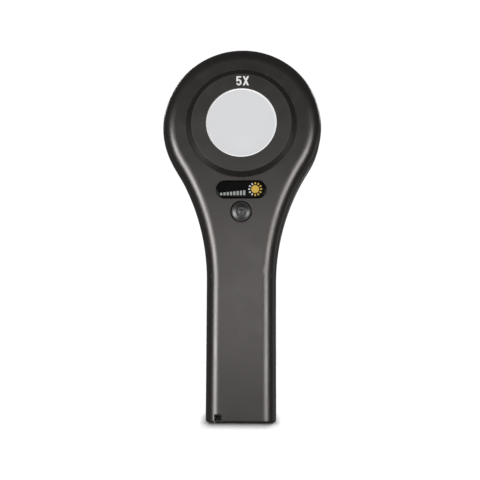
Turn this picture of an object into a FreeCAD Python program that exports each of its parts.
import FreeCAD, Part
import math
import os
from FreeCAD import Vector

# Illuminated low vision hand magnifier. Millimetres, +Z up, standing on the end of its handle.
# The origin is the centre of the handle's end face. +X is right and +Y is back, away from the eye.

# Housing outline: a straight handle, a concave neck arc and a round head, all tangent.
HALF_W = 17.5
HEAD_R = 41.0
HEAD_Z = 149.8
NECK_R = 109.5
NECK_X = HALF_W + NECK_R
NECK_Z = HEAD_Z - math.sqrt((HEAD_R + NECK_R) ** 2 - NECK_X ** 2)

# Housing depth, walls and edge rounding.
FRONT_Y = -11.0
REAR_Y = 11.0
WALL = 2.0
FRONT_ROUND = 7.0
REAR_ROUND = 4.5
END_ROUND = 1.0
PART_Y = 2.0
SEAM_GAP = 0.15
SEAM_DEPTH = 0.5
FRONT_IN = FRONT_Y + WALL
REAR_IN = REAR_Y - WALL
GAP = 0.3

# Optics, all about the head's axis (along Y).
LENS_VIEW_R = 18.0
LENS_R = 20.7
LENS_FRONT_R = 90.0
LENS_REAR_R = 47.0
LENS_FRONT_EDGE_Y = -11.1
LENS_REAR_EDGE_Y = -9.3
LENS_FRONT_RIM = 18.9
LENS_REAR_RIM = 19.0
BEZEL_BASE_R = 27.8
BEZEL_FACE_R = 25.4
BEZEL_FACE_Y = -13.15
BEZEL_SHOULDER_Y = -11.65
BEZEL_ROUND = 0.2
BEZEL_GROOVE = 0.5
BEZEL_BARREL_R = 24.3
BEZEL_BORE_R = 21.0
BEZEL_SEAT_Y = -10.2
BEZEL_END_Y = -6.0
LIP_Y = -12.25
SEAT_RING_END_Y = -11.5

# Lamp ring behind the lens.
SHIELD_IN_R = 19.5
SHIELD_OUT_R = 21.4
LED_BOARD_R = 30.8
LED_BOARD_Y = 3.0
LED_BOARD_T = 1.2
LED_COUNT = 8
LED_RING_R = 25.6
WINDOW_R = 29.9
WINDOW_Y = 9.8
WINDOW_END_Y = 10.85
WINDOW_HOLE_R = 28.9

# Button, switch and main board.
BUTTON_Z = 104.1
BUTTON_R = 4.85
BUTTON_HOLE_R = 5.35
BUTTON_FLANGE_R = 6.2
BUTTON_TOP_Y = -11.15
FLANGE_Y = -8.1
SWITCH_TOP_Y = -5.4
BOARD_Y = -2.4
BOARD_T = 1.4
BOARD_HALF_W = 13.0
BOARD_Z = (78.8, 119.8)
BOARD_POSTS = [(x, z) for x in (-10.0, 10.0) for z in (82.8, 116.3)]
BOARD_REAR = BOARD_Y + BOARD_T
POST_R = 2.3

# Badge plate.
BADGE_Z = 115.4
BADGE_L = 25.5
BADGE_H = 9.1
BADGE_FLOOR_Y = -10.3
BADGE_TOP_Y = -11.35

# Housing screws, driven from the back.
SCREW_RING_R = 34.5
SCREWS = [(x, 71.8) for x in (-11.8, 11.8)]
for turn in (48, 132, 222, 318):
    angle = math.radians(turn)
    SCREWS.append((SCREW_RING_R * math.cos(angle), HEAD_Z + SCREW_RING_R * math.sin(angle)))
BOSS_R = 3.2
SCREW_SEAT_Y = 6.5
SCREW_HOLE_R = 2.5

# Battery compartment: two AA cells side by side in a tray.
CELL_R = 7.25
CELL_X = 7.5
CELL_Y = 0.7
NUB_R = 2.75
NUB_H = 1.0
CELL_BODY = 49.5
TRAY_X = 15.0
TRAY_Y = (-7.8, -6.6)
TRAY_Z = (6.3, 63.3)
TRAY_RIB_Y = -4.5
TRAY_WALL = 1.2
BAY_LOW = TRAY_Z[0] + TRAY_WALL + 0.4
BAY_HIGH = TRAY_Z[1] - TRAY_WALL - 0.4

# Battery door, hinged across the handle near its top.
DOOR_LOW = 6.8
DOOR_Y = 6.0
HINGE_Y = 9.4
HINGE_Z = 64.8
BARREL_R = 1.6
PIN_R = 0.75
EAR_R = 2.6
EAR_X = 12.0

# Strap notch at the handle's lower left corner, and the bar across it.
NOTCH_X = (-12.7, -9.15)
NOTCH_TOP = 4.1
NOTCH_Y = -4.0
BAR_Y = -7.2
BAR_Z = 2.2
BAR_R = 0.9


def block(x0, x1, y0, y1, z0, z1):
    """A box between two corners."""
    return Part.makeBox(x1 - x0, y1 - y0, z1 - z0, Vector(x0, y0, z0))


def disc(r, y0, y1, x=0.0, z=HEAD_Z):
    """A round bar along Y."""
    return Part.makeCylinder(r, y1 - y0, Vector(x, y0, z), Vector(0, 1, 0))


def bar_x(r, x0, x1, y, z):
    """A round bar along X."""
    return Part.makeCylinder(r, x1 - x0, Vector(x0, y, z), Vector(1, 0, 0))


def ring(outer_r, inner_r, y0, y1, z=HEAD_Z):
    """A flat ring about an axis along Y."""
    return disc(outer_r, y0, y1, 0.0, z).cut(disc(inner_r, y0 - 1, y1 + 1, 0.0, z))


def line(a, b):
    return Part.LineSegment(a, b).toShape()


def arc(a, middle, b):
    return Part.Arc(a, middle, b).toShape()


def turned(edges, z=HEAD_Z):
    """Turn a closed half profile, drawn in the XY plane as (radius, y), about the axis along Y."""
    face = Part.Face(Part.Wire(edges))
    solid = face.revolve(Vector(0, 0, 0), Vector(0, 1, 0), 360)
    solid.translate(Vector(0, 0, z))
    return solid


def turned_polygon(points, z=HEAD_Z):
    corners = [Vector(r, y, 0) for r, y in points]
    edges = [line(a, b) for a, b in zip(corners, corners[1:] + corners[:1])]
    return turned(edges, z)


def round_edges(solid, radius, wanted):
    """Fillet the edges for which wanted(edge's bounding box) is true."""
    return solid.makeFillet(radius, [e for e in solid.Edges if wanted(e.BoundBox)])


def outline(inset, bottom):
    """The front view outline, moved inwards by inset, as a closed wire in the XZ plane."""
    half = HALF_W - inset
    head = HEAD_R - inset
    neck = NECK_R + inset
    angle = math.atan2(NECK_Z - HEAD_Z, NECK_X)
    touch = Vector(head * math.cos(angle), 0, HEAD_Z + head * math.sin(angle))
    neck_turn = math.pi - math.atan2(HEAD_Z - NECK_Z, NECK_X) / 2
    middle = Vector(NECK_X + neck * math.cos(neck_turn), 0, NECK_Z + neck * math.sin(neck_turn))
    low = Vector(half, 0, bottom)
    high = Vector(half, 0, NECK_Z)

    def other(p):
        return Vector(-p.x, p.y, p.z)

    return Part.Wire([
        line(other(low), low),
        line(low, high),
        arc(high, middle, touch),
        arc(touch, Vector(0, 0, HEAD_Z + head), other(touch)),
        arc(other(touch), other(middle), other(high)),
        line(other(high), other(low)),
    ])


def body(inset, y0, y1, bottom, front_round, rear_round, end_round):
    """A solid of the housing's shape between two depths, with rounded front, rear and end edges."""
    solid = Part.Face(outline(inset, bottom)).extrude(Vector(0, y1 - y0, 0))
    solid.translate(Vector(0, y0, 0))
    for depth, radius in ((y0, front_round), (y1, rear_round)):
        solid = round_edges(
            solid, radius,
            lambda b: abs(b.YMin - depth) < 1e-6 and abs(b.YMax - depth) < 1e-6 and b.ZMax > bottom + 1,
        )
    if end_round:
        solid = round_edges(solid, end_round, lambda b: b.ZMax < bottom + 1e-6)
    return solid


def seam():
    """The shallow groove that shows round the housing where its two shells meet."""
    band = Part.Face(outline(-1.0, -1.0)).extrude(Vector(0, 2 * SEAM_GAP, 0))
    core = Part.Face(outline(SEAM_DEPTH, SEAM_DEPTH)).extrude(Vector(0, 2 * SEAM_GAP, 0))
    groove = band.cut(core)
    groove.translate(Vector(0, PART_Y - SEAM_GAP, 0))
    return groove


def stadium(length, height, y0, y1):
    """A rounded bar shape, as the badge has, along X at the badge's height."""
    half = (length - height) / 2
    solid = block(-half, half, y0, y1, BADGE_Z - height / 2, BADGE_Z + height / 2)
    for x in (-half, half):
        solid = solid.fuse(disc(height / 2, y0, y1, x, BADGE_Z))
    return solid.removeSplitter()


OUTER = body(0.0, FRONT_Y, REAR_Y, 0.0, FRONT_ROUND, REAR_ROUND, END_ROUND)
CAVITY = body(WALL, FRONT_IN, REAR_IN, WALL, FRONT_ROUND - WALL, REAR_ROUND - WALL, 0.0)


def front_shell():
    half = OUTER.cut(CAVITY).common(block(-60, 60, -60, PART_Y, -10, 300))
    posts = [disc(BOSS_R, FRONT_IN - 0.5, PART_Y - 0.1, x, z) for x, z in SCREWS]
    posts += [disc(POST_R, FRONT_IN - 0.5, BOARD_Y, x, z) for x, z in BOARD_POSTS]
    pocket = block(NOTCH_X[0] - 1.2, NOTCH_X[1] + 1.2, FRONT_IN - 0.5, NOTCH_Y + 1.2, 0.5, NOTCH_TOP + 1.2)
    half = half.fuse(posts + [pocket.common(OUTER)])
    cuts = [disc(1.15, FRONT_IN + 3.0, PART_Y + 1, x, z) for x, z in SCREWS]
    cuts += [disc(0.85, FRONT_IN + 1.0, BOARD_Y + 1, x, z) for x, z in BOARD_POSTS]
    cuts += [
        disc(BEZEL_BARREL_R + 0.15, FRONT_Y - 5, 0.0),
        disc(BEZEL_BASE_R + BEZEL_GROOVE, FRONT_Y - 5, BEZEL_SEAT_Y),
        disc(BUTTON_HOLE_R, FRONT_Y - 5, FRONT_IN + 1, 0.0, BUTTON_Z),
        Part.makeCone(BUTTON_HOLE_R + 0.2, BUTTON_HOLE_R, 0.2, Vector(0, FRONT_Y, BUTTON_Z), Vector(0, 1, 0)),
        stadium(BADGE_L + 0.4, BADGE_H + 0.4, FRONT_Y - 5, BADGE_FLOOR_Y),
        block(NOTCH_X[0], NOTCH_X[1], FRONT_Y - 5, NOTCH_Y, -5, NOTCH_TOP),
        bar_x(BAR_R + 0.02, NOTCH_X[0] - 0.9, NOTCH_X[1] + 0.9, BAR_Y, BAR_Z),
        seam(),
    ]
    return half.cut(cuts)


def hinge_zone(radius, x0, x1):
    """Everything within radius of the door's hinge line."""
    return bar_x(radius, x0, x1, HINGE_Y, HINGE_Z)


def rear_shell():
    half = OUTER.cut(CAVITY).common(block(-60, 60, PART_Y, 60, -10, 300))
    hollow = block(-60, 60, DOOR_Y - GAP, 60, DOOR_LOW - GAP, HINGE_Z)
    swing_room = block(-EAR_X - GAP, EAR_X + GAP, HINGE_Y, 60, HINGE_Z, HINGE_Z + BARREL_R + GAP)
    half = half.cut([hollow, hinge_zone(BARREL_R + GAP, -60, 60), swing_room])
    ears = [
        OUTER.common(hinge_zone(EAR_R, x0, x1).fuse(block(x0, x1, HINGE_Y - EAR_R, 20, HINGE_Z, HINGE_Z + 4)))
        for x0, x1 in ((-20, -EAR_X - GAP), (EAR_X + GAP, 20))
    ]
    rib = block(-20, 20, 5.6, REAR_IN + 0.5, HINGE_Z + 2.4, HINGE_Z + 3.9).common(OUTER)
    posts = [disc(BOSS_R + 0.2, PART_Y + 0.1, REAR_IN + 0.5, x, z) for x, z in SCREWS]
    half = half.fuse(ears + [rib] + posts)
    cuts = [disc(1.3, PART_Y - 1, REAR_Y, x, z) for x, z in SCREWS]
    cuts += [disc(SCREW_HOLE_R, SCREW_SEAT_Y, REAR_Y + 1, x, z) for x, z in SCREWS]
    cuts += [
        disc(WINDOW_HOLE_R, 0.0, REAR_Y + 1),
        disc(WINDOW_R + 0.1, WINDOW_Y, REAR_Y + 1),
        hinge_zone(PIN_R, -15.6, 15.6),
        seam(),
    ]
    return half.cut(cuts)


def battery_door():
    channel = OUTER.cut(CAVITY).common(block(-60, 60, DOOR_Y, 60, DOOR_LOW, HINGE_Z))
    channel = channel.cut([
        hinge_zone(EAR_R + GAP, EAR_X, 60),
        hinge_zone(EAR_R + GAP, -60, -EAR_X),
        block(EAR_X, 60, HINGE_Y - EAR_R - GAP, 60, HINGE_Z - 1.2, HINGE_Z + 5),
        block(-60, -EAR_X, HINGE_Y - EAR_R - GAP, 60, HINGE_Z - 1.2, HINGE_Z + 5),
        block(-60, 60, 0, HINGE_Y - EAR_R, HINGE_Z - 1.0, HINGE_Z + 5),
    ])
    door = channel.fuse(hinge_zone(BARREL_R, -EAR_X, EAR_X).common(OUTER))
    cuts = [hinge_zone(PIN_R + 0.05, -20, 20)]
    thumb = Part.makeSphere(14.0, Vector(0, REAR_Y + 12.9, DOOR_LOW + 1.0))
    cuts.append(thumb)
    for i in range(5):
        cuts.append(bar_x(0.45, -7.0, 7.0, REAR_Y + 0.1, DOOR_LOW + 9.0 + 2.0 * i))
    return door.cut(cuts)


def door_hinge_pin():
    return hinge_zone(PIN_R, -15.5, 15.5)


def strap_bar():
    return bar_x(BAR_R, NOTCH_X[0] - 0.8, NOTCH_X[1] + 0.8, BAR_Y, BAR_Z)


def lens_bezel():
    solid = turned_polygon([
        (LENS_VIEW_R, BEZEL_FACE_Y),
        (BEZEL_FACE_R, BEZEL_FACE_Y),
        (BEZEL_BASE_R, BEZEL_SHOULDER_Y),
        (BEZEL_BASE_R, BEZEL_SEAT_Y),
        (BEZEL_BARREL_R, BEZEL_SEAT_Y),
        (BEZEL_BARREL_R, BEZEL_END_Y),
        (BEZEL_BORE_R, BEZEL_END_Y),
        (BEZEL_BORE_R, LIP_Y),
        (LENS_VIEW_R, LIP_Y),
    ])
    rim = 2 * BEZEL_FACE_R
    return round_edges(solid, BEZEL_ROUND, lambda b: b.YMax < BEZEL_FACE_Y + 1e-6 and b.XLength > rim - 1)


def lens_seat_ring():
    return ring(BEZEL_BORE_R - 0.15, LENS_VIEW_R - 0.65, LIP_Y + 0.05, SEAT_RING_END_Y)


def lens():
    front_sag = LENS_FRONT_R - math.sqrt(LENS_FRONT_R ** 2 - LENS_FRONT_RIM ** 2)
    rear_sag = LENS_REAR_R - math.sqrt(LENS_REAR_R ** 2 - LENS_REAR_RIM ** 2)
    front_top = Vector(0, LENS_FRONT_EDGE_Y - front_sag, 0)
    rear_top = Vector(0, LENS_REAR_EDGE_Y + rear_sag, 0)

    def on_front(r):
        return Vector(r, front_top.y + LENS_FRONT_R - math.sqrt(LENS_FRONT_R ** 2 - r * r), 0)

    def on_rear(r):
        return Vector(r, rear_top.y - LENS_REAR_R + math.sqrt(LENS_REAR_R ** 2 - r * r), 0)

    return turned([
        arc(front_top, on_front(LENS_FRONT_RIM / 2), on_front(LENS_FRONT_RIM)),
        line(on_front(LENS_FRONT_RIM), Vector(LENS_R, LENS_FRONT_EDGE_Y, 0)),
        line(Vector(LENS_R, LENS_FRONT_EDGE_Y, 0), Vector(LENS_R, LENS_REAR_EDGE_Y, 0)),
        line(Vector(LENS_R, LENS_REAR_EDGE_Y, 0), on_rear(LENS_REAR_RIM)),
        arc(on_rear(LENS_REAR_RIM), on_rear(LENS_REAR_RIM / 2), rear_top),
        line(rear_top, front_top),
    ])


def lens_retainer():
    solid = ring(BEZEL_BORE_R - 0.1, LENS_REAR_RIM - 0.05, LENS_REAR_EDGE_Y + 0.1, -6.6)
    slots = [block(-30, 30, -7.4, -6.0, HEAD_Z - 0.8, HEAD_Z + 0.8)]
    return solid.cut(slots)


def bezel_lock_ring():
    solid = ring(27.6, BEZEL_BARREL_R + 0.1, FRONT_IN + 0.05, -7.2)
    slots = []
    for angle in (0, 90):
        slot = block(26.4, 29.0, -12, 0, -1.2, 1.2)
        for turn in (angle, angle + 180):
            piece = slot.copy()
            piece.rotate(Vector(0, 0, 0), Vector(0, 1, 0), turn)
            piece.translate(Vector(0, 0, HEAD_Z))
            slots.append(piece)
    return solid.cut(slots)


def light_shield():
    tube = ring(SHIELD_OUT_R, SHIELD_IN_R, BEZEL_END_Y + 0.1, WINDOW_END_Y)
    flange = ring(24.0, SHIELD_IN_R + 0.5, LED_BOARD_Y - 1.2, LED_BOARD_Y)
    return tube.fuse(flange)


def led_board():
    return ring(LED_BOARD_R, SHIELD_OUT_R + 0.2, LED_BOARD_Y, LED_BOARD_Y + LED_BOARD_T)


def leds():
    lamps = []
    base = LED_BOARD_Y + LED_BOARD_T
    for i in range(LED_COUNT):
        lamp = block(-1.4, 1.4, base, base + 0.9, LED_RING_R - 1.75, LED_RING_R + 1.75)
        lamp = lamp.fuse(disc(1.1, base + 0.9, base + 1.2, 0.0, LED_RING_R))
        lamp.rotate(Vector(0, 0, 0), Vector(0, 1, 0), 360.0 * i / LED_COUNT)
        lamp.translate(Vector(0, 0, HEAD_Z))
        lamps.append(lamp)
    return Part.makeCompound(lamps)


def light_reflector():
    low = LED_BOARD_Y + LED_BOARD_T + 0.05
    return turned_polygon([(27.5, low), (28.5, low), (28.75, WINDOW_Y - 0.05), (28.1, WINDOW_Y - 0.05)])


def light_window():
    solid = ring(WINDOW_R, SHIELD_OUT_R + 0.1, WINDOW_Y, WINDOW_END_Y)
    return round_edges(solid, 0.25, lambda b: b.YMin > WINDOW_END_Y - 1e-6)


def badge():
    solid = stadium(BADGE_L, BADGE_H, BADGE_TOP_Y, BADGE_FLOOR_Y)
    return round_edges(solid, 0.7, lambda b: b.YMax < BADGE_TOP_Y + 1e-6)


def button_cap():
    """A gently crowned cap, its rim just below the housing's face, with a dished middle and a pip."""
    crown_r = 8.0
    flat_r = 1.4
    dish_r = 2.3
    step_r = 2.5
    dish_y = BUTTON_TOP_Y + 0.4
    pip_r = 1.3
    pip_rise = 0.28
    pip_top = dish_y - pip_rise

    def on_crown(r):
        return Vector(r, BUTTON_TOP_Y + crown_r - math.sqrt(crown_r ** 2 - (r - flat_r) ** 2), 0)

    rim = on_crown(BUTTON_R)
    pip_foot = Vector(pip_r, dish_y, 0)
    edges = [
        arc(Vector(0, pip_top, 0), Vector(pip_r / 2, pip_top + pip_rise / 4, 0), pip_foot),
        line(pip_foot, Vector(dish_r, dish_y, 0)),
        line(Vector(dish_r, dish_y, 0), on_crown(step_r)),
        arc(on_crown(step_r), on_crown((step_r + BUTTON_R) / 2), rim),
    ]
    corners = [
        (BUTTON_R, rim.y), (BUTTON_R, FRONT_IN + 0.1), (BUTTON_FLANGE_R, FRONT_IN + 0.1),
        (BUTTON_FLANGE_R, FLANGE_Y), (0, FLANGE_Y), (0, pip_top),
    ]
    points = [Vector(r, y, 0) for r, y in corners]
    edges += [line(a, b) for a, b in zip(points, points[1:])]
    return turned(edges, BUTTON_Z)


def switch_plunger():
    return disc(1.6, FLANGE_Y + 0.02, -4.4, 0.0, BUTTON_Z)


def switch_body():
    solid = block(-3.5, 3.5, SWITCH_TOP_Y, BOARD_Y, BUTTON_Z - 3.5, BUTTON_Z + 3.5)
    solid = round_edges(solid, 0.4, lambda b: b.YLength > 2)
    return solid.cut(disc(1.7, -10, -3.0, 0.0, BUTTON_Z))


def coil(wire_r, coil_r, turns, height):
    """A round wire coil about Z, standing on z = 0, with its wire inside the given height."""
    rise = height - 2 * wire_r
    helix = Part.makeHelix(rise / turns, rise, coil_r)
    start = helix.Edges[0].valueAt(helix.Edges[0].FirstParameter)
    along = helix.Edges[0].tangentAt(helix.Edges[0].FirstParameter)
    section = Part.Wire([Part.Circle(start, along, wire_r).toShape()])
    solid = Part.Wire(helix).makePipeShell([section], True, True)
    solid.translate(Vector(0, 0, wire_r))
    return solid


def button_spring():
    room = 0.06
    solid = coil(0.15, 2.4, 3.0, SWITCH_TOP_Y - FLANGE_Y - 2 * room)
    solid.rotate(Vector(0, 0, 0), Vector(1, 0, 0), -90)
    solid.translate(Vector(0, FLANGE_Y + room, BUTTON_Z))
    return solid


def main_board():
    solid = block(-BOARD_HALF_W, BOARD_HALF_W, BOARD_Y, BOARD_Y + BOARD_T, BOARD_Z[0], BOARD_Z[1])
    solid = round_edges(solid, 1.5, lambda b: b.YLength > 1 and b.XLength < 1e-6 and b.ZLength < 1e-6)
    return solid.cut([disc(1.1, -10, 10, x, z) for x, z in BOARD_POSTS])


def cross_slots(x, z, half_length, half_width, depth_y):
    """The two crossed cuts of a screw's drive recess, open towards the back from depth_y."""
    return [
        block(x - half_length, x + half_length, depth_y, depth_y + 5, z - half_width, z + half_width),
        block(x - half_width, x + half_width, depth_y, depth_y + 5, z - half_length, z + half_length),
    ]


def board_screws():
    screws = []
    for x, z in BOARD_POSTS:
        head = disc(1.8, BOARD_REAR, BOARD_REAR + 1.2, x, z)
        screw = head.fuse(disc(0.8, BOARD_Y - 3.5, BOARD_REAR, x, z))
        screws.append(screw.cut(cross_slots(x, z, 0.9, 0.2, BOARD_REAR + 0.7)))
    return Part.makeCompound(screws)


def housing_screws():
    screws = []
    for x, z in SCREWS:
        head = disc(2.2, SCREW_SEAT_Y, SCREW_SEAT_Y + 1.5, x, z)
        head = round_edges(head, 0.5, lambda b: b.YMin > SCREW_SEAT_Y + 1.4)
        screw = head.fuse(disc(1.08, FRONT_IN + 3.5, SCREW_SEAT_Y, x, z))
        screws.append(screw.cut(cross_slots(x, z, 1.2, 0.28, SCREW_SEAT_Y + 0.7)))
    return Part.makeCompound(screws)


def driver_chip():
    low = BOARD_Z[0] + 14.0
    solid = block(-6.5, -1.5, BOARD_REAR, BOARD_REAR + 1.4, low, low + 4.0)
    return round_edges(solid, 0.25, lambda b: b.YMin > BOARD_REAR + 1.3)


def boost_inductor():
    """The wound core: two flanges and a narrower winding between them."""
    x = 5.0
    z = BOARD_Z[0] + 16.0
    low = disc(3.0, BOARD_REAR, BOARD_REAR + 0.7, x, z)
    middle = disc(2.4, BOARD_REAR + 0.7, BOARD_REAR + 1.9, x, z)
    high = disc(3.0, BOARD_REAR + 1.9, BOARD_REAR + 2.6, x, z)
    return low.fuse([middle, high])


def capacitors():
    """A row of four chip capacitors and one round can."""
    low = BOARD_Z[0] + 23.0
    row = (-8.0, -4.0, 0.0, 4.0)
    pieces = [block(x, x + 2.0, BOARD_REAR, BOARD_REAR + 1.3, low, low + 1.25) for x in row]
    pieces.append(disc(2.5, BOARD_REAR, BOARD_REAR + 4.5, 4.0, low + 6.0))
    return Part.makeCompound(pieces)


def battery_tray():
    x, y, z = TRAY_X, TRAY_Y, TRAY_Z
    floor = block(-x, x, y[0], y[1], z[0], z[1])
    ends = [block(-x, x, y[1] - 0.1, 5.0, a, a + TRAY_WALL) for a in (z[0], z[1] - TRAY_WALL)]
    middle = block(-0.15, 0.15, y[1] - 0.1, TRAY_RIB_Y, z[0], z[1])
    sides = [block(s, s + 0.5, y[1] - 0.1, TRAY_RIB_Y, z[0], z[1]) for s in (-x, x - 0.5)]
    tray = floor.fuse(ends + [middle] + sides)
    inset = WALL + 0.25
    room = body(inset, FRONT_Y + inset, REAR_Y - inset, inset, FRONT_ROUND - inset, REAR_ROUND - inset, 0.0)
    windows = [block(-4, 4, -20, -3.6, low, low + 6) for low in (20, 42)]
    return tray.common(room).cut(windows)


def cell(x, nub_up):
    """An AA cell, with its positive nub up or down."""
    base = BAY_HIGH - NUB_H - CELL_BODY if nub_up else BAY_LOW + NUB_H
    can = Part.makeCylinder(CELL_R, CELL_BODY, Vector(x, CELL_Y, base))
    can = can.makeFillet(0.6, [e for e in can.Edges if abs(e.Length - 2 * math.pi * CELL_R) < 0.01])
    nub_z = base + CELL_BODY if nub_up else BAY_LOW
    return can.fuse(Part.makeCylinder(NUB_R, NUB_H, Vector(x, CELL_Y, nub_z)))


def battery_left():
    return cell(-CELL_X, True)


def battery_right():
    return cell(CELL_X, False)


def contact_plate(x0, x1, z0):
    return block(x0, x1, CELL_Y - 5.0, CELL_Y + 4.6, z0, z0 + 0.4)


def contact_bridge():
    return contact_plate(-13.0, 13.0, BAY_LOW - 0.4)


def top_contact(x):
    """A plate at the top of the bay with a solder tab folded up behind the tray's end wall."""
    tab = block(x - 1.5, x + 1.5, CELL_Y + 4.4, CELL_Y + 4.8, BAY_HIGH, BAY_HIGH + 3.1)
    return contact_plate(x - 5.5, x + 5.5, BAY_HIGH).fuse(tab)


def contact_positive():
    return top_contact(-CELL_X)


def contact_negative():
    return top_contact(CELL_X)


def battery_spring(x, low):
    """The spring between a cell's flat end and its contact."""
    room = 0.03
    solid = coil(0.3, 3.8, 3.0, BAY_HIGH - BAY_LOW - CELL_BODY - NUB_H - 2 * room)
    solid.translate(Vector(x, CELL_Y, low + room))
    return solid


def contact_spring_lower():
    return battery_spring(-CELL_X, BAY_LOW)


def contact_spring_upper():
    return battery_spring(CELL_X, BAY_LOW + NUB_H + CELL_BODY)


def wire(points, radius):
    """A round lead along straight runs joined by tangent arcs, printed with its tightest bend."""
    edges = []
    start = points[0]
    for before, corner, after in zip(points, points[1:], points[2:]):
        into = (corner - before).normalize()
        out = (after - corner).normalize()
        turn = into.getAngle(out)
        trim = 0.45 * min((corner - before).Length, (after - corner).Length)
        bend = trim / math.tan(turn / 2)
        a = corner - into * trim
        b = corner + out * trim
        inward = (out - into).normalize()
        middle = corner + inward * (bend / math.cos(turn / 2) - bend)
        edges += [line(start, a), arc(a, middle, b)]
        start = b
        print("wire bend radius", round(bend, 1))
    edges.append(line(start, points[-1]))
    path = Part.Wire(edges)
    along = (points[1] - points[0]).normalize()
    section = Part.Wire([Part.Circle(points[0], along, radius).toShape()])
    return path.makePipeShell([section], True, True)


def battery_wire(side):
    """From a battery contact's tab to the lower edge of the main board."""
    lead = 0.55
    tab_y = CELL_Y + 4.4 - lead
    board_y = BOARD_REAR + lead + 0.05
    return wire([
        Vector(side * 7.0, tab_y, BAY_HIGH + 1.8),
        Vector(side * 7.0, tab_y, BAY_HIGH + 8.0),
        Vector(side * 6.0, board_y, BOARD_Z[0] - 1.0),
        Vector(side * 6.0, board_y, BOARD_Z[0] + 6.0),
    ], lead)


def battery_wire_positive():
    return battery_wire(-1)


def battery_wire_negative():
    return battery_wire(1)


def led_wires():
    """Two leads from the main board's upper edge to the front of the lamp board."""
    lead = 0.5
    board_y = BOARD_REAR + lead + 0.05
    lamp_y = LED_BOARD_Y - lead - 0.05
    pair = []
    for x in (-3.0, 3.0):
        pair.append(wire([
            Vector(x, board_y, BOARD_Z[1] - 6.0),
            Vector(x, board_y, BOARD_Z[1] - 1.5),
            Vector(x, lamp_y, BOARD_Z[1] + 1.5),
            Vector(x, lamp_y, BOARD_Z[1] + 5.0),
        ], lead))
    return Part.makeCompound(pair)


NODES = {
    "front_shell": front_shell,
    "rear_shell": rear_shell,
    "battery_door": battery_door,
    "door_hinge_pin": door_hinge_pin,
    "strap_bar": strap_bar,
    "lens_bezel": lens_bezel,
    "lens_seat_ring": lens_seat_ring,
    "lens": lens,
    "lens_retainer": lens_retainer,
    "bezel_lock_ring": bezel_lock_ring,
    "light_shield": light_shield,
    "led_board": led_board,
    "leds": leds,
    "light_reflector": light_reflector,
    "light_window": light_window,
    "badge": badge,
    "button_cap": button_cap,
    "switch_plunger": switch_plunger,
    "switch_body": switch_body,
    "button_spring": button_spring,
    "main_board": main_board,
    "board_screws": board_screws,
    "housing_screws": housing_screws,
    "driver_chip": driver_chip,
    "boost_inductor": boost_inductor,
    "capacitors": capacitors,
    "battery_tray": battery_tray,
    "battery_left": battery_left,
    "battery_right": battery_right,
    "contact_bridge": contact_bridge,
    "contact_positive": contact_positive,
    "contact_negative": contact_negative,
    "contact_spring_lower": contact_spring_lower,
    "contact_spring_upper": contact_spring_upper,
    "battery_wire_positive": battery_wire_positive,
    "battery_wire_negative": battery_wire_negative,
    "led_wires": led_wires,
}

os.makedirs("parts", exist_ok=True)
for name, make in NODES.items():
    shape = make()
    if not shape.isValid() or shape.Volume <= 0:
        print("not a valid solid:", name, shape.Volume)
    print(name, len(shape.Solids), round(shape.Volume, 1))
    shape.exportStep("parts/" + name + ".step")
